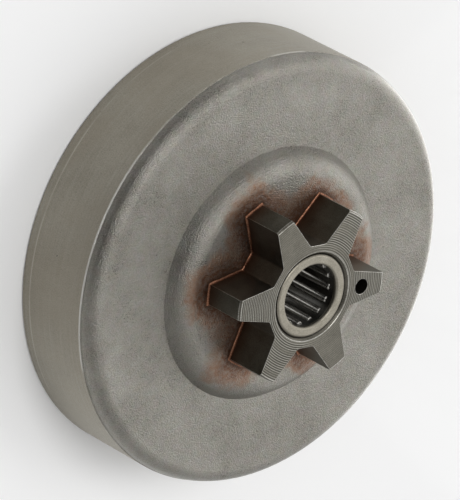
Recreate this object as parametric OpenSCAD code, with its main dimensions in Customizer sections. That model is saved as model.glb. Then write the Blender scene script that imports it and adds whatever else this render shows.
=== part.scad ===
// Chainsaw clutch drum with an integral six-tooth spur sprocket and its needle bearing.
// The drum stands on its open rim at z = 0 with its axis on Z and the sprocket upwards.
// The tooth with the drive hole points along +X.

/* [Drum] */
// outside diameter of the turned drum wall (mm)
drum_diameter = 72.2; // [70:0.1:76]
// sheet thickness of the deep-drawn drum (mm)
drum_wall = 2.2; // [2:0.1:2.5]
// height of the flat drum face above the open rim (mm)
drum_face_height = 17; // [15:0.5:20]
// outside radius of the drawn corner between wall and face (mm)
corner_radius = 2.35; // [2:0.05:3]
// how far the turned wall stands proud of the drawn corner (mm)
turned_step = 0.15; // [0.1:0.05:0.25]
// width of the small bevels on the open rim (mm)
rim_bevel = 0.3; // [0.1:0.1:0.5]

/* [Boss] */
// diameter of the raised round boss at its foot (mm)
boss_diameter = 42.5; // [41:0.5:46]
// height of the boss above the drum face (mm)
boss_height = 2.9; // [2.6:0.1:3.2]
// steepness of the boss's flank at its foot (degrees)
boss_flank_angle = 56; // [52:1:60]
// outside radius of the boss's rounded shoulder (mm)
boss_shoulder_radius = 3.5; // [3:0.1:3.8]

/* [Sprocket] */
// diameter across the tooth tips (mm)
tip_diameter = 29.7; // [29:0.1:31]
// diameter through the corners of the gullet floors (mm)
root_diameter = 17.6; // [17.4:0.1:18.2]
// width of one tooth at its tip (mm)
tip_width = 3.3; // [2.8:0.1:3.8]
// width of one gullet floor (mm)
gullet_width = 3.15; // [2.8:0.05:3.5]
// radius in the corners of the gullet floor (mm)
gullet_radius = 0.6; // [0.4:0.1:0.8]
// length of the teeth that stands above the boss (mm)
tooth_length = 7.55; // [6.5:0.05:9]
// bevel turned on the tooth tips (mm)
tip_bevel = 0.3; // [0.1:0.1:0.5]
// diameter of the spigot that passes through the drum (mm)
spigot_diameter = 17.2; // [16.6:0.1:17.3]

/* [Drive hole] */
// diameter of the small hole along one tooth (mm)
drive_hole_diameter = 2.6; // [2:0.1:3]
// distance of the small hole from the axis (mm)
drive_hole_offset = 10.3; // [10.2:0.1:10.8]

/* [Braze] */
// thickness of the copper film between sprocket and drum (mm)
braze_film = 0.1; // [0.05:0.05:0.15]
// width of the copper fillet round the tooth feet (mm)
braze_fillet = 0.35; // [0.25:0.05:0.5]

/* [Bearing] */
// outside diameter of the drawn bearing cup (mm)
bearing_diameter = 14; // [13.9:0.1:14.4]
// length of the bearing cup (mm)
bearing_length = 12; // [11.5:0.5:13]
// sheet thickness of the bearing cup (mm)
cup_wall = 0.68; // [0.6:0.02:0.76]
// diameter of one needle roller (mm)
needle_diameter = 1.3; // [1.2:0.05:1.3]
// how much larger the cup lips are than the shaft that the needles run on, per side (mm)
lip_clearance = 0.22; // [0.2:0.01:0.25]
// running clearance between needle and raceway (mm)
needle_clearance = 0.02; // [0.02:0.01:0.04]
// running clearance between needle and cage pocket (mm)
pocket_clearance = 0.05; // [0.03:0.01:0.08]
// how far the cup sits below the sprocket face (mm)
cup_recess = 0.15; // [0.1:0.05:0.3]

/* [Hidden] */
$fn = 96;
tooth_count = 6;
needle_count = 16;

drum_r = drum_diameter / 2;
drum_inner_r = drum_r - drum_wall;
ceiling_z = drum_face_height - drum_wall;
corner_z = drum_face_height - corner_radius;
corner_r = drum_r - turned_step;
inner_corner = 1.2;
boss_r = boss_diameter / 2;
boss_top = drum_face_height + boss_height;
boss_ceiling = boss_top - drum_wall;
shoulder_fall = boss_shoulder_radius * (1 - cos(boss_flank_angle));
shoulder_x = boss_r - (boss_height - shoulder_fall) / tan(boss_flank_angle)
    - boss_shoulder_radius * sin(boss_flank_angle);
shoulder_centre_z = boss_top - boss_shoulder_radius;

tip_r = tip_diameter / 2;
root_r = root_diameter / 2;
spigot_r = spigot_diameter / 2;
shoulder_z = boss_top + braze_film;
face_z = shoulder_z + tooth_length;
spigot_end = min(face_z - bearing_length - 0.5, boss_ceiling - 1.5);
drum_hole_r = spigot_r + braze_film;

half_pitch = 180 / tooth_count;
floor_angle = asin(gullet_width / 2 / root_r);
floor_x = root_r * cos(floor_angle);
tip_angle = half_pitch - asin(tip_width / 2 / tip_r);
flank_angle = atan2(tip_r * sin(tip_angle) - gullet_width / 2, tip_r * cos(tip_angle) - floor_x);

bearing_r = bearing_diameter / 2;
needle_r = needle_diameter / 2;
raceway_r = bearing_r - cup_wall;
needle_circle = raceway_r - needle_clearance - needle_r;
shaft_r = needle_circle - needle_r;
lip_r = shaft_r + lip_clearance;
cup_top = face_z - cup_recess;
cup_bottom = cup_top - bearing_length;
cup_round = 0.5;
lip_round = 0.45;
cage_gap = 0.12;
cage_top = cup_top - cup_wall - cage_gap;
cage_bottom = cup_bottom + cup_wall + cage_gap;
cage_rim = 0.9;
cage_inner_r = needle_circle - 0.35;
cage_outer_r = needle_circle + 0.35;
pocket_r = needle_r + pocket_clearance;
needle_bottom = cage_bottom + cage_rim + pocket_clearance;
needle_top = cage_top - cage_rim - pocket_clearance;
bore_bevel = 0.5;

// a filled rectangle between two corners
module box2(x0, y0, x1, y1) {
    translate([x0, y0]) square([x1 - x0, y1 - y0]);
}

// a filled block whose upper outer corner is rounded
module rounded_block(x1, y0, y1, r) {
    box2(0, y0, x1 - r, y1);
    box2(0, y0, x1, y1 - r);
    translate([x1 - r, y1 - r]) circle(r = r);
}

// the boss from height z0 up, or its recess when the sheet thickness is the inset
module boss_profile(z0, inset) {
    r = boss_shoulder_radius - inset;
    polygon([[0, z0],
             [boss_r - (inset + (z0 - drum_face_height) * cos(boss_flank_angle))
                 / sin(boss_flank_angle), z0],
             [shoulder_x + r * sin(boss_flank_angle), shoulder_centre_z + r * cos(boss_flank_angle)],
             [shoulder_x, shoulder_centre_z + r], [0, shoulder_centre_z + r]]);
    translate([shoulder_x, shoulder_centre_z]) circle(r = r);
}

// outline of one gullet on the +X axis, made smaller on every side by grow
function gullet_points(grow) =
    let(
        r = max(gullet_radius - grow, 0.1),
        x0 = floor_x + grow,
        y0 = gullet_width / 2 - grow * (1 - sin(flank_angle)) / cos(flank_angle),
        cy = y0 - r * (1 - sin(flank_angle)) / cos(flank_angle),
        x1 = tip_r + 3,
        y1 = y0 + (x1 - x0) * tan(flank_angle),
        half = concat(
            [for (i = [0:5]) let(a = 180 - i * (90 - flank_angle) / 5)
                [x0 + r + r * cos(a), cy + r * sin(a)]],
            [[x1, y1]]
        )
    )
    concat(half, [for (i = [len(half) - 1:-1:0]) [half[i][0], -half[i][1]]]);

// section of the toothed part, made larger on every side by grow
module tooth_section(grow) {
    difference() {
        circle(r = tip_r + grow);
        for (i = [0:tooth_count - 1])
            rotate((i + 0.5) * 2 * half_pitch) polygon(gullet_points(grow));
    }
}

module drive_hole() {
    translate([drive_hole_offset, 0, ceiling_z - 1])
        cylinder(r = drive_hole_diameter / 2, h = face_z - ceiling_z + 2, $fn = 32);
}

module drum() {
    color("DarkGray") difference() {
        rotate_extrude() difference() {
            union() {
                rounded_block(corner_r, rim_bevel, drum_face_height, corner_radius);
                box2(0, rim_bevel, drum_r, corner_z - turned_step);
                polygon([[0, 0], [drum_r - rim_bevel, 0], [drum_r, rim_bevel], [0, rim_bevel]]);
                polygon([[0, corner_z - turned_step], [drum_r, corner_z - turned_step],
                         [corner_r, corner_z], [0, corner_z]]);
                boss_profile(drum_face_height, 0);
            }
            rounded_block(drum_inner_r, -1, ceiling_z, inner_corner);
            boss_profile(ceiling_z - 0.2, drum_wall);
            polygon([[0, -1], [drum_inner_r + rim_bevel + 1, -1], [drum_inner_r, rim_bevel],
                     [0, rim_bevel]]);
            box2(0, 0, drum_hole_r, boss_top + 1);
        }
        drive_hole();
    }
}

module sprocket() {
    color("DimGray") difference() {
        union() {
            intersection() {
                translate([0, 0, shoulder_z]) linear_extrude(height = tooth_length) tooth_section(0);
                rotate_extrude() polygon([[0, shoulder_z - 1], [tip_r + 1, shoulder_z - 1],
                    [tip_r + 1, face_z - tip_bevel - 1], [tip_r - tip_bevel, face_z], [0, face_z]]);
            }
            translate([0, 0, spigot_end]) cylinder(r = spigot_r, h = face_z - spigot_end - 1);
        }
        rotate_extrude() union() {
            box2(0, spigot_end - 1, bearing_r, face_z + 1);
            polygon([[0, face_z - bore_bevel], [bearing_r, face_z - bore_bevel],
                     [bearing_r + bore_bevel, face_z], [bearing_r + bore_bevel, face_z + 1],
                     [0, face_z + 1]]);
            polygon([[0, spigot_end - 1], [bearing_r + 0.2, spigot_end - 1], [bearing_r + 0.2, spigot_end],
                     [bearing_r, spigot_end + 0.2], [0, spigot_end + 0.2]]);
        }
        drive_hole();
    }
}

module copper_braze() {
    color("Chocolate") difference() {
        union() {
            translate([0, 0, boss_top]) linear_extrude(height = braze_film) tooth_section(braze_fillet);
            translate([0, 0, boss_top + braze_film / 2])
                linear_extrude(height = braze_film / 2 + braze_fillet * 0.5)
                tooth_section(braze_fillet * 0.5);
            rotate_extrude() polygon([[0, boss_ceiling - braze_fillet],
                [spigot_r + braze_fillet * 0.25, boss_ceiling - braze_fillet],
                [drum_hole_r + braze_fillet, boss_ceiling], [0, boss_ceiling]]);
            translate([0, 0, boss_ceiling - 0.1]) cylinder(r = drum_hole_r, h = drum_wall + 0.15);
        }
        translate([0, 0, shoulder_z]) linear_extrude(height = tooth_length) tooth_section(0);
        translate([0, 0, spigot_end - 1]) cylinder(r = spigot_r, h = face_z - spigot_end);
        drive_hole();
    }
}

module bearing_cup() {
    color("LightYellow") rotate_extrude() difference() {
        union() {
            box2(0, cup_bottom + cup_round, bearing_r, cup_top - cup_round);
            box2(0, cup_bottom, bearing_r - cup_round, cup_top);
            translate([bearing_r - cup_round, cup_top - cup_round]) circle(r = cup_round);
            translate([bearing_r - cup_round, cup_bottom + cup_round]) circle(r = cup_round);
        }
        box2(-1, cup_bottom + cup_wall, raceway_r, cup_top - cup_wall);
        box2(-1, cup_bottom - 1, lip_r, cup_top + 1);
        difference() {
            box2(-1, cup_top - lip_round, lip_r + lip_round, cup_top + 1);
            translate([lip_r + lip_round, cup_top - lip_round]) circle(r = lip_round);
        }
    }
}

module bearing_cage() {
    color("Gray") difference() {
        rotate_extrude() box2(cage_inner_r, cage_bottom, cage_outer_r, cage_top);
        for (i = [0:needle_count - 1])
            rotate(i * 360 / needle_count)
                translate([needle_circle, 0, cage_bottom + cage_rim])
                cylinder(r = pocket_r, h = cage_top - cage_bottom - 2 * cage_rim, $fn = 24);
    }
}

module needle(i) {
    bevel = 0.15;
    color("Silver") rotate((i - 1) * 360 / needle_count) translate([needle_circle, 0, 0])
        rotate_extrude($fn = 24) polygon([[0, needle_bottom], [needle_r - bevel, needle_bottom],
            [needle_r, needle_bottom + bevel], [needle_r, needle_top - bevel],
            [needle_r - bevel, needle_top], [0, needle_top]]);
}

drum();
sprocket();
copper_braze();
bearing_cup();
bearing_cage();
needle(1);  // needle_01
needle(2);  // needle_02
needle(3);  // needle_03
needle(4);  // needle_04
needle(5);  // needle_05
needle(6);  // needle_06
needle(7);  // needle_07
needle(8);  // needle_08
needle(9);  // needle_09
needle(10);  // needle_10
needle(11);  // needle_11
needle(12);  // needle_12
needle(13);  // needle_13
needle(14);  // needle_14
needle(15);  // needle_15
needle(16);  // needle_16
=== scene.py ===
import math

import bmesh
import bpy
from mathutils import Matrix, Vector, noise


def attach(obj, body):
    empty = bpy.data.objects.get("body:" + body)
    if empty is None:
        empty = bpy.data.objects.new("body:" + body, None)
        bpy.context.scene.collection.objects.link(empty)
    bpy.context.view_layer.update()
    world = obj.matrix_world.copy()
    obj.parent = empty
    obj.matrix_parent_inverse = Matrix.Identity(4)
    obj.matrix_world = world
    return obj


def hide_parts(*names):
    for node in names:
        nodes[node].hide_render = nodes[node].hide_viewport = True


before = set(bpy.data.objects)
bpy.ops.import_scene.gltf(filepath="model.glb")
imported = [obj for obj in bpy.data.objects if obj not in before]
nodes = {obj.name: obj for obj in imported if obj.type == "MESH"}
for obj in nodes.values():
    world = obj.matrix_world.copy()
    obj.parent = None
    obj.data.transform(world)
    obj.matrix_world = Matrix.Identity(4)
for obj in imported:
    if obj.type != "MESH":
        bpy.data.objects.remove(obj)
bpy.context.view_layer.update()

mm = 0.001

# camera, lamps and floor

camera = {
    "place": (-0.63362, 0.35902, 0.69833),
    "right": (0.76083, 0.11312, 0.63901),
    "up": (0.15044, 0.92712, -0.34324),
    "back": (-0.63127, 0.35728, 0.68837),
    "lens": 455.85,
}

studio = {
    "floorColour": (0.95, 0.95, 0.95),
    "floorHalf": 4.0,
    "worldStrength": 0.58,
    "lamps": {
        "softbox": {"turn": 113, "rise": 66, "away": 2.2, "size": 1.02, "power": 12.5},
        "sideBox": {"turn": 15, "rise": 50, "away": 2.2, "size": 0.85, "power": 4.8},
        "backPanel": {"turn": -28, "rise": 44, "away": 2.4, "size": 2.0, "power": 7.0},
    },
    # cards that only the metal sees, painted reflections: dark ones give dark bands and glowing pale ones
    # give bright bands; turn and rise in degrees, lengths in metres
    "darkWall": {"radius": 0.6, "rows": ((105, 0, 5), (113, 0, 12), (125, 0, 28), (140, 0, 48),
                                         (155, 0, 57), (170, 0, 62), (183, 0, 50), (193, 0, 25),
                                         (198, 0, 5))},
    "paleWall": {"radius": 0.9, "rows": ((-30, 0, 14), (-10, 0, 26), (15, 0, 32), (35, 0, 28),
                                         (48, 0, 14))},
    "darkSheet": {"from": 105, "to": 197, "inner": 0.062, "outer": 0.6},
    "paleSheet": {"from": -42, "to": 34, "inner": 0.040, "outer": 0.9},
    "underCard": ((-0.004, 0.008), (-0.029, 0.015), (-0.020, 0.026), (0.004, 0.012)),
    "cardColour": (0.10, 0.10, 0.10),
    "sheetGlow": 2.6,
    "wallGlow": 1.4,
    "underGlow": 1.0,
}


def addObject(name, mesh):
    piece = bpy.data.objects.new(name, mesh)
    bpy.context.scene.collection.objects.link(piece)
    return piece


def makeCamera():
    data = bpy.data.cameras.new("photoCamera")
    data.lens = camera["lens"]
    data.sensor_width = 36.0
    data.clip_start = 0.05
    data.clip_end = 20.0
    holder = addObject("photoCamera", data)
    turn = Matrix((camera["right"], camera["up"], camera["back"])).transposed().normalized()
    holder.matrix_world = Matrix.Translation(camera["place"]) @ turn.to_4x4()
    bpy.context.scene.camera = holder


def polar(turn, rise, away):
    turn, rise = math.radians(turn), math.radians(rise)
    return Vector((away * math.cos(rise) * math.cos(turn), away * math.cos(rise) * math.sin(turn),
                   away * math.sin(rise)))


def addLamp(name, setting):
    data = bpy.data.lights.new(name, "AREA")
    data.shape = "DISK"
    data.size = setting["size"]
    data.energy = setting["power"]
    lamp = addObject(name, data)
    lamp.location = polar(setting["turn"], setting["rise"], setting["away"])
    lamp.rotation_mode = "QUATERNION"
    lamp.rotation_quaternion = (-lamp.location).to_track_quat("-Z", "Y")


def makeWorld():
    world = bpy.data.worlds.new("paleRoom")
    bpy.context.scene.world = world
    world.use_nodes = True
    background = world.node_tree.nodes["Background"]
    background.inputs["Color"].default_value = (1.0, 1.0, 1.0, 1.0)
    background.inputs["Strength"].default_value = studio["worldStrength"]


def makeFloor():
    half = studio["floorHalf"]
    mesh = bpy.data.meshes.new("paleFloor")
    mesh.from_pydata([(-half, -half, 0), (half, -half, 0), (half, half, 0), (-half, half, 0)],
                     [], [(0, 1, 2, 3)])
    floor = addObject("paleFloor", mesh)
    material = bpy.data.materials.new("paleFloor")
    material.use_nodes = True
    shader = material.node_tree.nodes["Principled BSDF"]
    shader.inputs["Base Color"].default_value = (*studio["floorColour"], 1.0)
    shader.inputs["Roughness"].default_value = 0.9
    shader.inputs["Specular IOR Level"].default_value = 0.1
    mesh.materials.append(material)


def addCard(name, rows, colour, glow):
    # rows of point pairs make a strip that only reflections see, a painted reflection
    mesh = bpy.data.meshes.new(name)
    points = [point for row in rows for point in row]
    faces = [(2 * i, 2 * i + 1, 2 * i + 3, 2 * i + 2) for i in range(len(rows) - 1)]
    mesh.from_pydata(points, [], faces)
    card = addObject(name, mesh)
    material = bpy.data.materials.new(name)
    material.use_nodes = True
    shader = material.node_tree.nodes["Principled BSDF"]
    shader.inputs["Base Color"].default_value = (*colour, 1.0)
    shader.inputs["Roughness"].default_value = 1.0
    shader.inputs["Specular IOR Level"].default_value = 0.0
    shader.inputs["Emission Color"].default_value = (1.0, 1.0, 1.0, 1.0)
    shader.inputs["Emission Strength"].default_value = glow
    mesh.materials.append(material)
    card.visible_camera = False
    card.visible_diffuse = False
    card.visible_shadow = False


def makeCards():
    for name, glow in (("darkWall", 0.0), ("paleWall", studio["wallGlow"])):
        wall = studio[name]
        rows = []
        for turn, low, high in wall["rows"]:
            foot = polar(turn, 0, wall["radius"])
            rows.append([foot + Vector((0, 0, 0.002 + wall["radius"] * math.tan(math.radians(rise))))
                         for rise in (low, high)])
        addCard(name, rows, studio["cardColour"], glow)
    for name, height, glow in (("darkSheet", 0.002, 0.0), ("paleSheet", 0.001, studio["sheetGlow"])):
        sheet = studio[name]
        rows = []
        for i in range(17):
            turn = sheet["from"] + (sheet["to"] - sheet["from"]) * i / 16
            lift = Vector((0, 0, height))
            rows.append((polar(turn, 0, sheet["inner"]) + lift, polar(turn, 0, sheet["outer"]) + lift))
        addCard(name, rows, studio["cardColour"], glow)
    # a card under the drum that glows and is seen only in reflections, a painted reflection, so that the
    # needles show as light stripes
    under = [Vector((x, y, 0.001)) for x, y in studio["underCard"]]
    addCard("underCard", [(under[0], under[3]), (under[1], under[2])], studio["cardColour"],
            studio["underGlow"])


print("stage: camera, lamps, floor")
makeCamera()
makeWorld()
for lampName, lampSetting in studio["lamps"].items():
    addLamp(lampName, lampSetting)
makeFloor()
makeCards()


# node helpers

def startMaterial(name):
    material = bpy.data.materials.new(name)
    material.use_nodes = True
    tree = material.node_tree
    shader = tree.nodes["Principled BSDF"]
    return material, tree, shader


def plug(tree, target, value):
    if isinstance(value, bpy.types.NodeSocket):
        tree.links.new(value, target)
    elif value is not None:
        target.default_value = value


def maths(tree, operation, a, b=None, c=None, clamp=False):
    node = tree.nodes.new("ShaderNodeMath")
    node.operation = operation
    node.use_clamp = clamp
    for socket, value in zip(node.inputs, (a, b, c)):
        plug(tree, socket, value)
    return node.outputs[0]


def blendColour(tree, factor, a, b, mode="MIX"):
    node = tree.nodes.new("ShaderNodeMix")
    node.data_type = "RGBA"
    node.blend_type = mode
    plug(tree, node.inputs[0], factor)
    for socket, value in ((node.inputs[6], a), (node.inputs[7], b)):
        plug(tree, socket, value if isinstance(value, bpy.types.NodeSocket) else (*value, 1.0))
    return node.outputs[2]


def spread(tree, value, low, high, toLow=0.0, toHigh=1.0, smooth=True):
    node = tree.nodes.new("ShaderNodeMapRange")
    node.interpolation_type = "SMOOTHSTEP" if smooth else "LINEAR"
    for socket, number in zip(node.inputs, (value, low, high, toLow, toHigh)):
        plug(tree, socket, number)
    return node.outputs[0]


def addNoise(tree, vector, scale, detail=3.0, roughness=0.55, distortion=0.0, output="Fac"):
    node = tree.nodes.new("ShaderNodeTexNoise")
    node.inputs["Scale"].default_value = scale
    node.inputs["Detail"].default_value = detail
    node.inputs["Roughness"].default_value = roughness
    node.inputs["Distortion"].default_value = distortion
    plug(tree, node.inputs["Vector"], vector)
    return node.outputs[output]


def objectPoint(tree):
    return tree.nodes.new("ShaderNodeTexCoord").outputs["Object"]


def splitPoint(tree, point):
    # distance from the axis and height, both in mm, and the angle round the axis
    split = tree.nodes.new("ShaderNodeSeparateXYZ")
    plug(tree, split.inputs[0], point)
    x, y, z = split.outputs
    flat = tree.nodes.new("ShaderNodeCombineXYZ")
    plug(tree, flat.inputs[0], x)
    plug(tree, flat.inputs[1], y)
    length = tree.nodes.new("ShaderNodeVectorMath")
    length.operation = "LENGTH"
    plug(tree, length.inputs[0], flat.outputs[0])
    radius = maths(tree, "MULTIPLY", length.outputs["Value"], 1000.0)
    height = maths(tree, "MULTIPLY", z, 1000.0)
    turn = maths(tree, "ARCTAN2", y, x)
    return radius, height, turn


def addBump(tree, height, strength, distance, normal=None):
    node = tree.nodes.new("ShaderNodeBump")
    node.inputs["Strength"].default_value = strength
    node.inputs["Distance"].default_value = distance
    plug(tree, node.inputs["Height"], height)
    plug(tree, node.inputs["Normal"], normal)
    return node.outputs["Normal"]


def startGroup(name, inputs, outputs):
    tree = bpy.data.node_groups.new(name, "ShaderNodeTree")
    for label, kind, value in inputs:
        socket = tree.interface.new_socket(label, in_out="INPUT", socket_type=kind)
        if value is not None:
            socket.default_value = value
    for label, kind in outputs:
        tree.interface.new_socket(label, in_out="OUTPUT", socket_type=kind)
    return tree, tree.nodes.new("NodeGroupInput"), tree.nodes.new("NodeGroupOutput")


def useGroup(tree, group, **values):
    node = tree.nodes.new("ShaderNodeGroup")
    node.node_tree = group
    for label, value in values.items():
        plug(tree, node.inputs[label], value)
    return node.outputs


def makeSteelGrain():
    # fine grain and slow mottling that every bare steel surface here has
    tree, start, end = startGroup(
        "steelGrain",
        [("Point", "NodeSocketVector", None), ("Grain", "NodeSocketFloat", 5000.0),
         ("Mottle", "NodeSocketFloat", 160.0)],
        [("Tone", "NodeSocketFloat"), ("Height", "NodeSocketFloat"), ("Speck", "NodeSocketFloat")])
    fine = tree.nodes.new("ShaderNodeTexNoise")
    fine.inputs["Detail"].default_value = 2.0
    slow = tree.nodes.new("ShaderNodeTexNoise")
    slow.inputs["Detail"].default_value = 5.0
    slow.inputs["Roughness"].default_value = 0.6
    pits = tree.nodes.new("ShaderNodeTexNoise")
    pits.inputs["Detail"].default_value = 1.0
    pits.inputs["Scale"].default_value = 900.0
    for node in (fine, slow, pits):
        plug(tree, node.inputs["Vector"], start.outputs["Point"])
    plug(tree, fine.inputs["Scale"], start.outputs["Grain"])
    plug(tree, slow.inputs["Scale"], start.outputs["Mottle"])
    tone = maths(tree, "MULTIPLY_ADD", fine.outputs["Fac"], 0.55,
                 maths(tree, "MULTIPLY", slow.outputs["Fac"], 0.45))
    plug(tree, end.inputs["Tone"], spread(tree, tone, 0.34, 0.66, smooth=False))
    plug(tree, end.inputs["Height"], fine.outputs["Fac"])
    plug(tree, end.inputs["Speck"], spread(tree, pits.outputs["Fac"], 0.79, 0.83))
    return tree


def makeTurnedRings():
    # grooves left by a turning tool, round the axis, with uneven depth
    tree, start, end = startGroup(
        "turnedRings",
        [("Radius", "NodeSocketFloat", 0.0), ("Turn", "NodeSocketFloat", 0.0),
         ("Pitch", "NodeSocketFloat", 0.3)],
        [("Groove", "NodeSocketFloat"), ("Strength", "NodeSocketFloat")])
    count = maths(tree, "DIVIDE", start.outputs["Radius"], start.outputs["Pitch"])
    wave = maths(tree, "SINE", maths(tree, "MULTIPLY", count, 2 * math.pi))
    place = tree.nodes.new("ShaderNodeCombineXYZ")
    plug(tree, place.inputs[0], count)
    plug(tree, place.inputs[1], maths(tree, "MULTIPLY", start.outputs["Turn"], 0.6))
    uneven = addNoise(tree, place.outputs[0], 0.45, detail=2.0)
    strength = spread(tree, uneven, 0.3, 0.65, 0.25, 1.0)
    plug(tree, end.inputs["Groove"], maths(tree, "MULTIPLY", wave, strength))
    plug(tree, end.inputs["Strength"], strength)
    return tree


def makeToothGap():
    # how far a place on the boss is from the sprocket's outline, in mm
    tree, start, end = startGroup(
        "toothGap", [("Radius", "NodeSocketFloat", 0.0), ("Turn", "NodeSocketFloat", 0.0)],
        [("Gap", "NodeSocketFloat")])
    radius = start.outputs["Radius"]
    sixth = math.pi / 3
    turned = maths(tree, "ADD", start.outputs["Turn"], sixth * 6.5)
    folded = maths(tree, "SUBTRACT", maths(tree, "MODULO", turned, sixth), sixth / 2)
    folded = maths(tree, "ABSOLUTE", folded)
    along = maths(tree, "MULTIPLY", radius, maths(tree, "COSINE", folded))
    across = maths(tree, "MULTIPLY", radius, maths(tree, "SINE", folded))
    flank = maths(tree, "MULTIPLY_ADD", along, 0.2035, maths(tree, "SUBTRACT", across, 4.653))
    flank = maths(tree, "MAXIMUM", maths(tree, "MULTIPLY", flank, 0.98), 0.0)
    tip = maths(tree, "MAXIMUM", maths(tree, "SUBTRACT", radius, 14.85), 0.0)
    corner = maths(tree, "SQRT", maths(tree, "ADD", maths(tree, "MULTIPLY", flank, flank),
                                       maths(tree, "MULTIPLY", tip, tip)))
    toFloor = maths(tree, "SUBTRACT", sixth / 2, folded)
    floor = maths(tree, "SUBTRACT", maths(tree, "MULTIPLY", radius, maths(tree, "COSINE", toFloor)), 8.66)
    plug(tree, end.inputs["Gap"], maths(tree, "MINIMUM", corner, floor))
    return tree


print("stage: shared finishes")
steelGrain = makeSteelGrain()
turnedRings = makeTurnedRings()
toothGap = makeToothGap()


# drum

drumFinish = {
    "dark": (0.190, 0.180, 0.156),
    "light": (0.330, 0.318, 0.286),
    "wallDark": (0.250, 0.232, 0.188),
    "wallLight": (0.395, 0.370, 0.312),
    # painted highlight colour for the edge by the corner
    "edge": (0.68, 0.67, 0.64),
    "stainBrown": (0.115, 0.050, 0.027),
    "stainTan": (0.230, 0.138, 0.092),
    # painted shade over the copper stain next to the teeth
    "stainAndShadeBrown": (0.060, 0.034, 0.022),
    "roughness": 0.31,
    "wallRoughness": 0.42,
}


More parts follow.
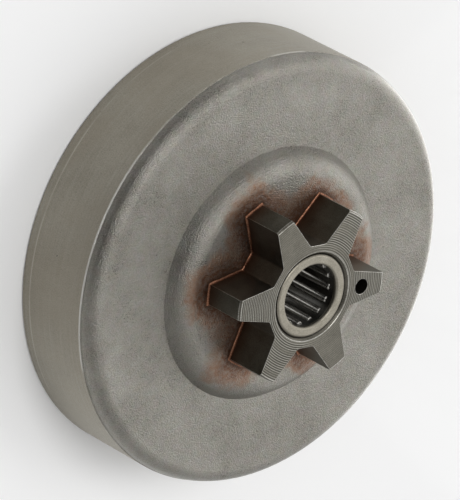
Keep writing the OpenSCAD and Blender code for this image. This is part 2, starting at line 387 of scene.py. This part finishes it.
def makeDrumSteel():
    material, tree, shader = startMaterial("drawnSteel")
    point = objectPoint(tree)
    radius, height, turn = splitPoint(tree, point)
    grain = useGroup(tree, steelGrain, Point=point, Grain=5200.0, Mottle=150.0)
    colour = blendColour(tree, grain["Tone"], drumFinish["dark"], drumFinish["light"])
    hues = addNoise(tree, point, 700.0, detail=4.0, roughness=0.7, output="Color")
    colour = blendColour(tree, 0.10, colour, hues, "OVERLAY")

    # the turned wall: faint tool lines, one deeper line by the rim painted lighter, and a painted
    # highlight on the edge by the corner
    onWall = maths(tree, "MULTIPLY", spread(tree, radius, 35.9, 36.0),
                   spread(tree, height, 14.50, 14.56, 1.0, 0.0))
    wallColour = blendColour(tree, grain["Tone"], drumFinish["wallDark"], drumFinish["wallLight"])
    ring = tree.nodes.new("ShaderNodeCombineXYZ")
    plug(tree, ring.inputs[0], maths(tree, "MULTIPLY", turn, 0.5))
    plug(tree, ring.inputs[1], height)
    lines = addNoise(tree, ring.outputs[0], 1.6, detail=6.0, roughness=0.72)
    wallColour = blendColour(tree, maths(tree, "MULTIPLY", spread(tree, lines, 0.42, 0.66), 0.22),
                             wallColour, (0.46, 0.44, 0.39))
    blotches = addNoise(tree, point, 75.0, detail=4.0, roughness=0.6)
    wallColour = blendColour(tree, spread(tree, blotches, 0.40, 0.62, 0.0, 0.35), wallColour,
                             (0.235, 0.205, 0.155))
    rimLine = maths(tree, "SUBTRACT", 1.0, spread(
        tree, maths(tree, "ABSOLUTE", maths(tree, "SUBTRACT", height, 2.0)), 0.06, 0.22))
    rimLine = maths(tree, "MULTIPLY", rimLine, spread(tree, addNoise(tree, point, 60.0), 0.4, 0.6))
    wallColour = blendColour(tree, maths(tree, "MULTIPLY", rimLine, 0.6), wallColour,
                             (0.52, 0.49, 0.43))
    colour = blendColour(tree, onWall, colour, wallColour)
    # painted highlight: the edge by the corner goes near white, most on the side facing turn 167 degrees,
    # unevenly along it
    edge = maths(tree, "MULTIPLY", spread(tree, height, 14.22, 14.30),
                 spread(tree, height, 14.54, 14.60, 1.0, 0.0))
    edge = maths(tree, "MULTIPLY", edge, spread(tree, radius, 35.9, 36.0))
    facingLitSide = maths(tree, "COSINE", maths(tree, "SUBTRACT", turn, math.radians(167)))
    edgeHighlightAndWear = maths(tree, "ADD", maths(tree, "MULTIPLY", spread(tree, facingLitSide, 0.80, 0.97), 0.75),
                     maths(tree, "MULTIPLY", spread(tree, addNoise(tree, point, 90.0), 0.5, 0.65), 0.4))
    edge = maths(tree, "MULTIPLY", edge, edgeHighlightAndWear, clamp=True)
    colour = blendColour(tree, edge, colour, drumFinish["edge"])

    # copper colour that ran out round the teeth
    gap = useGroup(tree, toothGap, Radius=radius, Turn=turn)["Gap"]
    above = spread(tree, height, 17.2, 18.2)
    patches = addNoise(tree, point, 330.0, detail=6.0, roughness=0.68, distortion=0.8)
    broad = addNoise(tree, point, 85.0, detail=2.0)
    wander = maths(tree, "ADD", maths(tree, "MULTIPLY", maths(tree, "SUBTRACT", patches, 0.5), 9.0),
                   maths(tree, "MULTIPLY", maths(tree, "SUBTRACT", broad, 0.5), 10.0))
    stain = spread(tree, maths(tree, "ADD", gap, wander), 2.6, 6.0, 1.0, 0.0)
    stain = maths(tree, "MULTIPLY", stain, above)
    near = spread(tree, maths(tree, "MULTIPLY_ADD", wander, 0.55, gap), 1.2, 3.4, 1.0, 0.0)
    copper = blendColour(tree, near, drumFinish["stainTan"], drumFinish["stainBrown"])
    mottled = spread(tree, addNoise(tree, point, 1500.0, detail=3.0, roughness=0.7), 0.3, 0.7, 0.55, 1.0)
    colour = blendColour(tree, maths(tree, "MULTIPLY", stain, mottled), colour, copper)
    # painted shade: a dark brown band within about a millimetre of the sprocket's outline, over the
    # copper stain
    footStainAndShade = maths(tree, "MULTIPLY", spread(tree, gap, 0.3, 1.3, 1.0, 0.0), above)
    colour = blendColour(tree, maths(tree, "MULTIPLY", footStainAndShade, 0.75), colour, drumFinish["stainAndShadeBrown"])
    specks = maths(tree, "MULTIPLY", grain["Speck"], 0.7)
    colour = blendColour(tree, specks, colour, (0.06, 0.05, 0.04))

    plug(tree, shader.inputs["Base Color"], colour)
    shader.inputs["Metallic"].default_value = 1.0
    rough = spread(tree, onWall, 0.0, 1.0, drumFinish["roughness"], drumFinish["wallRoughness"], False)
    rough = maths(tree, "ADD", rough, maths(tree, "MULTIPLY", stain, 0.06))
    rough = maths(tree, "MULTIPLY_ADD", maths(tree, "SUBTRACT", grain["Tone"], 0.5), 0.10, rough)
    plug(tree, shader.inputs["Roughness"], rough)
    bumped = addBump(tree, grain["Height"], 1.0, 0.00014)
    wallLines = maths(tree, "MULTIPLY", lines, onWall)
    plug(tree, shader.inputs["Normal"], addBump(tree, wallLines, 0.2, 0.0002, bumped))
    return material


def dress(nodeName, material):
    node = nodes[nodeName]
    node.data.materials.clear()
    node.data.materials.append(material)


print("stage: drum")
dress("drum", makeDrumSteel())


# sprocket

sprocketFinish = {
    "bevel": 0.14 * mm,
    "dark": (0.092, 0.086, 0.070),
    "light": (0.175, 0.165, 0.138),
    "foot": (0.16, 0.095, 0.06),
    "grooveShade": (0.045, 0.043, 0.036),
    "crestHighlight": (0.36, 0.35, 0.31),
    "wornAndLitEdge": (0.62, 0.61, 0.57),
    "creviceShade": (0.018, 0.016, 0.013),
    "creviceRadius": (7.04, 7.16),
    "groovePitch": 0.36,
    "faintAcross": 120,
}


def makeSprocketSteel(name, wornAndLitEdge):
    material, tree, shader = startMaterial(name)
    point = objectPoint(tree)
    radius, height, turn = splitPoint(tree, point)
    grain = useGroup(tree, steelGrain, Point=point, Grain=6000.0, Mottle=420.0)
    # the broken edges: worn steel, painted brighter as a highlight along every edge
    if wornAndLitEdge:
        colour = blendColour(tree, grain["Tone"], sprocketFinish["light"], sprocketFinish["wornAndLitEdge"])
        plug(tree, shader.inputs["Base Color"], colour)
        shader.inputs["Roughness"].default_value = 0.3
    else:
        rings = useGroup(tree, turnedRings, Radius=radius, Turn=turn,
                         Pitch=sprocketFinish["groovePitch"])
        # the tool lines, with their painted highlight and shade, are fainter on two opposite teeth
        across = maths(tree, "SUBTRACT", turn, math.radians(sprocketFinish["faintAcross"]))
        kept = spread(tree, maths(tree, "COSINE", maths(tree, "MULTIPLY", across, 2.0)),
                      0.1, 0.9, 1.0, 0.25)
        onFace = maths(tree, "MULTIPLY", spread(tree, height, 27.50, 27.54), kept)
        colour = blendColour(tree, grain["Tone"], sprocketFinish["dark"], sprocketFinish["light"])
        atFoot = spread(tree, height, 20.2, 22.6, 0.55, 0.0)
        colour = blendColour(tree, atFoot, colour, sprocketFinish["foot"])
        # painted highlight on the crests of the tool grooves and painted shade in their troughs
        crestHighlight = maths(tree, "MULTIPLY", spread(tree, rings["Groove"], 0.0, 0.7), onFace)
        colour = blendColour(tree, maths(tree, "MULTIPLY", crestHighlight, 0.65), colour,
                             sprocketFinish["crestHighlight"])
        troughShade = maths(tree, "MULTIPLY", spread(tree, rings["Groove"], -0.8, -0.1, 1.0, 0.0), onFace)
        colour = blendColour(tree, maths(tree, "MULTIPLY", troughShade, 0.6), colour,
                             sprocketFinish["grooveShade"])
        # painted shade: near black in the gap round the bearing cup, from radius 7.04 to 7.16 mm
        creviceShade = spread(tree, radius, *sprocketFinish["creviceRadius"], 1.0, 0.0)
        colour = blendColour(tree, creviceShade, colour, sprocketFinish["creviceShade"])
        plug(tree, shader.inputs["Base Color"], colour)
        rough = spread(tree, grain["Tone"], 0.0, 1.0, 0.34, 0.46, smooth=False)
        plug(tree, shader.inputs["Roughness"], rough)
        cuts = maths(tree, "MULTIPLY", rings["Groove"], onFace)
        bumped = addBump(tree, grain["Height"], 0.25, 0.00005)
        plug(tree, shader.inputs["Normal"], addBump(tree, cuts, 0.8, 0.00005, bumped))
    shader.inputs["Metallic"].default_value = 1.0
    return material


def markSharp(mesh, limit):
    edit = bmesh.new()
    edit.from_mesh(mesh)
    for face in edit.faces:
        face.smooth = True
    for edge in edit.edges:
        edge.smooth = not (edge.is_manifold and edge.calc_face_angle(0.0) > math.radians(limit))
    edit.to_mesh(mesh)
    edit.free()


def bevelledCopy(nodeName, pieceName, width, sharpLimit, wornAndLitSlot):
    # the node's own shape with its sharp outer edges broken, the breaks in their own slot
    mesh = nodes[nodeName].data.copy()
    mesh.name = pieceName
    mesh.materials.clear()
    if "custom_normal" in mesh.attributes:
        mesh.attributes.remove(mesh.attributes["custom_normal"])
    edit = bmesh.new()
    edit.from_mesh(mesh)
    bmesh.ops.remove_doubles(edit, verts=edit.verts, dist=1e-6)
    # two cuts through the axis, kept, so that no merged face has the bore as a hole in it
    for normal in ((1, 0, 0), (0, 1, 0)):
        bmesh.ops.bisect_plane(edit, geom=edit.verts[:] + edit.edges[:] + edit.faces[:],
                               dist=1e-6, plane_co=(0, 0, 0), plane_no=normal)
    free = [edge for edge in edit.edges
            if all(max(abs(vert.co[axis]) for vert in edge.verts) > 2e-6 for axis in (0, 1))]
    bmesh.ops.dissolve_limit(edit, angle_limit=math.radians(0.4), verts=[], edges=free)
    bmesh.ops.dissolve_limit(edit, angle_limit=math.radians(0.4), verts=edit.verts, edges=[])
    edges = [edge for edge in edit.edges if edge.is_manifold and edge.is_convex
             and edge.calc_face_angle(0.0) > math.radians(sharpLimit)]
    bmesh.ops.bevel(edit, geom=edges, offset=width, offset_type="OFFSET", segments=2, profile=0.6,
                    affect="EDGES", clamp_overlap=True, material=wornAndLitSlot)
    edit.to_mesh(mesh)
    edit.free()
    markSharp(mesh, 14.0)
    return addObject(pieceName, mesh)


print("stage: sprocket")
toothed = bevelledCopy("sprocket", "toothedSprocket", sprocketFinish["bevel"], 30.0, 1)
toothed.data.materials.append(makeSprocketSteel("hardenedSteel", False))
toothed.data.materials.append(makeSprocketSteel("wornAndHighlightEdge", True))
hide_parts("sprocket")
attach(toothed, "drum_unit")


# copper braze

braze = {
    "teeth": 6,
    "tipRadius": 14.85,
    "tipWidth": 3.3,
    "rootRadius": 8.8,
    "floorWidth": 3.15,
    "cornerRadius": 0.6,
    "bossTop": 19.9,
    "shoulder": 20.0,
    "width": 0.26,
    "height": 0.24,
    "step": 0.25,
    "arcPoints": 6,
    "filmInner": 8.6,
    "sleeveRadius": 8.7,
    "ceiling": 17.7,
    "rearWidth": 0.36,
}


def toothOutline():
    # half of one gullet, mirrored and repeated, as points in mm
    halfPitch = math.pi / braze["teeth"]
    floorHalf = braze["floorWidth"] / 2
    floorX = math.sqrt(braze["rootRadius"] ** 2 - floorHalf ** 2)
    tipTurn = halfPitch - math.asin(braze["tipWidth"] / 2 / braze["tipRadius"])
    tipX = braze["tipRadius"] * math.cos(tipTurn)
    tipY = braze["tipRadius"] * math.sin(tipTurn)
    flank = math.atan2(tipY - floorHalf, tipX - floorX)
    r = braze["cornerRadius"]
    centreX = floorX + r
    centreY = floorHalf - r * (1 - math.sin(flank)) / math.cos(flank)
    half = []
    for i in range(6):
        a = math.pi - i * (math.pi / 2 - flank) / 5
        half.append((centreX + r * math.cos(a), centreY + r * math.sin(a)))
    half.append((tipX, tipY))
    for i in range(1, 5):
        a = tipTurn + (halfPitch - tipTurn) * i / 4
        half.append((braze["tipRadius"] * math.cos(a), braze["tipRadius"] * math.sin(a)))
    gullet = [(x, -y) for x, y in reversed(half[:-1])] + half
    points = []
    for k in range(braze["teeth"]):
        turn = (2 * k + 1) * halfPitch
        for x, y in gullet:
            points.append(Vector((x * math.cos(turn) - y * math.sin(turn),
                                  x * math.sin(turn) + y * math.cos(turn))))
    return points


def evenSteps(points, step):
    out = []
    for i, a in enumerate(points):
        b = points[(i + 1) % len(points)]
        count = max(1, round((b - a).length / step))
        out += [a.lerp(b, j / count) for j in range(count)]
    return out


def outwardNormals(points):
    normals = []
    for i, p in enumerate(points):
        before = (p - points[i - 1]).normalized()
        after = (points[(i + 1) % len(points)] - p).normalized()
        side = Vector((before.y + after.y, -before.x - after.x)).normalized()
        normals.append(side / max(0.45, side.dot(Vector((before.y, -before.x)))))
    return normals


def addLathe(edit, profile, steps):
    # turns a closed profile of (radius, height) in mm round the axis
    rings = []
    for i in range(steps):
        a = 2 * math.pi * i / steps
        rings.append([edit.verts.new((r * math.cos(a) * mm, r * math.sin(a) * mm, z * mm))
                      for r, z in profile])
    for i in range(steps):
        here, there = rings[i], rings[(i + 1) % steps]
        for j in range(len(profile)):
            k = (j + 1) % len(profile)
            edit.faces.new((here[j], there[j], there[k], here[k]))


def makeBraze():
    outline = evenSteps(toothOutline(), braze["step"])
    normals = outwardNormals(outline)
    edit = bmesh.new()
    rings = []
    base = braze["bossTop"]
    for p, n in zip(outline, normals):
        wander = noise.noise(Vector((p.x * 0.9, p.y * 0.9, 3.0)))
        width = braze["width"] * (1 + 0.5 * wander)
        height = braze["height"] * (1 + 0.6 * wander)
        section = [(0.0, base)]
        for k in range(braze["arcPoints"]):
            a = math.pi / 2 * k / (braze["arcPoints"] - 1)
            section.append((width * (1 - math.cos(a)),
                            braze["shoulder"] + height - (height + 0.08) * math.sin(a)))
        section.append((width, base))
        rings.append([edit.verts.new(((p.x + n.x * d) * mm, (p.y + n.y * d) * mm, z * mm))
                      for d, z in section])
    for i in range(len(rings)):
        here, there = rings[i], rings[(i + 1) % len(rings)]
        for j in range(len(here)):
            k = (j + 1) % len(here)
            edit.faces.new((here[j], there[j], there[k], here[k]))
    ceiling = braze["ceiling"]
    rear = [(braze["filmInner"], braze["shoulder"]), (braze["filmInner"], ceiling - 0.4)]
    for k in range(6):
        a = math.pi / 2 * k / 5
        rear.append((braze["filmInner"] + (braze["rearWidth"] + 0.1) * (1 - math.cos(a)),
                     ceiling - 0.4 + 0.4 * math.sin(a)))
    rear += [(braze["sleeveRadius"], ceiling), (braze["sleeveRadius"], base), (8.8, base),
             (8.8, braze["shoulder"])]
    addLathe(edit, rear, 96)
    bmesh.ops.recalc_face_normals(edit, faces=edit.faces)
    mesh = bpy.data.meshes.new("brazeFillet")
    edit.to_mesh(mesh)
    edit.free()
    markSharp(mesh, 40.0)
    return addObject("brazeFillet", mesh)


copperFinish = {
    "dark": (0.085, 0.040, 0.024),
    "light": (0.40, 0.19, 0.115),
}


def makeCopper():
    material, tree, shader = startMaterial("brazeCopper")
    point = objectPoint(tree)
    grain = useGroup(tree, steelGrain, Point=point, Grain=5000.0, Mottle=700.0)
    colour = blendColour(tree, grain["Tone"], copperFinish["dark"], copperFinish["light"])
    plug(tree, shader.inputs["Base Color"], colour)
    shader.inputs["Metallic"].default_value = 1.0
    shader.inputs["Roughness"].default_value = 0.38
    plug(tree, shader.inputs["Normal"], addBump(tree, grain["Height"], 0.4, 0.00006))
    return material


print("stage: braze")
fillet = makeBraze()
fillet.data.materials.append(makeCopper())
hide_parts("copper_braze")
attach(fillet, "drum_unit")


# bearing

bearingFinish = {
    "cupDark": (0.225, 0.208, 0.168),
    "cupLight": (0.345, 0.322, 0.268),
    "cage": (0.045, 0.042, 0.036),
    "needleDark": (0.34, 0.33, 0.30),
    "needleLight": (0.60, 0.58, 0.54),
    "creviceShade": (0.018, 0.016, 0.013),
    "creviceRadius": (6.86, 6.97),
    "cageLight": (0.10, 0.095, 0.08),
}


def makeCupSteel():
    material, tree, shader = startMaterial("cupSteel")
    point = objectPoint(tree)
    radius, height, turn = splitPoint(tree, point)
    grain = useGroup(tree, steelGrain, Point=point, Grain=4500.0, Mottle=500.0)
    rings = useGroup(tree, turnedRings, Radius=radius, Turn=turn, Pitch=0.19)
    colour = blendColour(tree, grain["Tone"], bearingFinish["cupDark"], bearingFinish["cupLight"])
    # painted shade: near black at the cup's outer edge, where it meets the bore, from radius 6.86 to 6.97
    # mm
    creviceShade = spread(tree, radius, *bearingFinish["creviceRadius"])
    colour = blendColour(tree, creviceShade, colour, bearingFinish["creviceShade"])
    plug(tree, shader.inputs["Base Color"], colour)
    shader.inputs["Metallic"].default_value = 1.0
    shader.inputs["Roughness"].default_value = 0.42
    bumped = addBump(tree, grain["Height"], 0.2, 0.00004)
    plug(tree, shader.inputs["Normal"], addBump(tree, rings["Groove"], 0.12, 0.00003, bumped))
    return material


def makeCageSteel():
    material, tree, shader = startMaterial("oilyCage")
    point = objectPoint(tree)
    grain = useGroup(tree, steelGrain, Point=point, Grain=3000.0, Mottle=600.0)
    colour = blendColour(tree, grain["Tone"], bearingFinish["cage"], bearingFinish["cageLight"])
    plug(tree, shader.inputs["Base Color"], colour)
    shader.inputs["Metallic"].default_value = 0.9
    shader.inputs["Roughness"].default_value = 0.32
    shader.inputs["Coat Weight"].default_value = 0.5
    shader.inputs["Coat Roughness"].default_value = 0.12
    plug(tree, shader.inputs["Normal"], addBump(tree, grain["Height"], 0.3, 0.00005))
    return material


def makeNeedleSteel():
    material, tree, shader = startMaterial("oilyNeedle")
    point = objectPoint(tree)
    grain = useGroup(tree, steelGrain, Point=point, Grain=2500.0, Mottle=900.0)
    colour = blendColour(tree, grain["Tone"], bearingFinish["needleDark"], bearingFinish["needleLight"])
    plug(tree, shader.inputs["Base Color"], colour)
    shader.inputs["Metallic"].default_value = 0.95
    shader.inputs["Roughness"].default_value = 0.25
    shader.inputs["Coat Weight"].default_value = 0.4
    shader.inputs["Coat Roughness"].default_value = 0.1
    plug(tree, shader.inputs["Normal"], addBump(tree, grain["Height"], 0.1, 0.00003))
    return material


print("stage: bearing")
dress("bearing_cup", makeCupSteel())
dress("bearing_cage", makeCageSteel())
needleSteel = makeNeedleSteel()
for name in nodes:
    if name.startswith("needle_"):
        dress(name, needleSteel)

bpy.context.scene.view_settings.view_transform = "Standard"
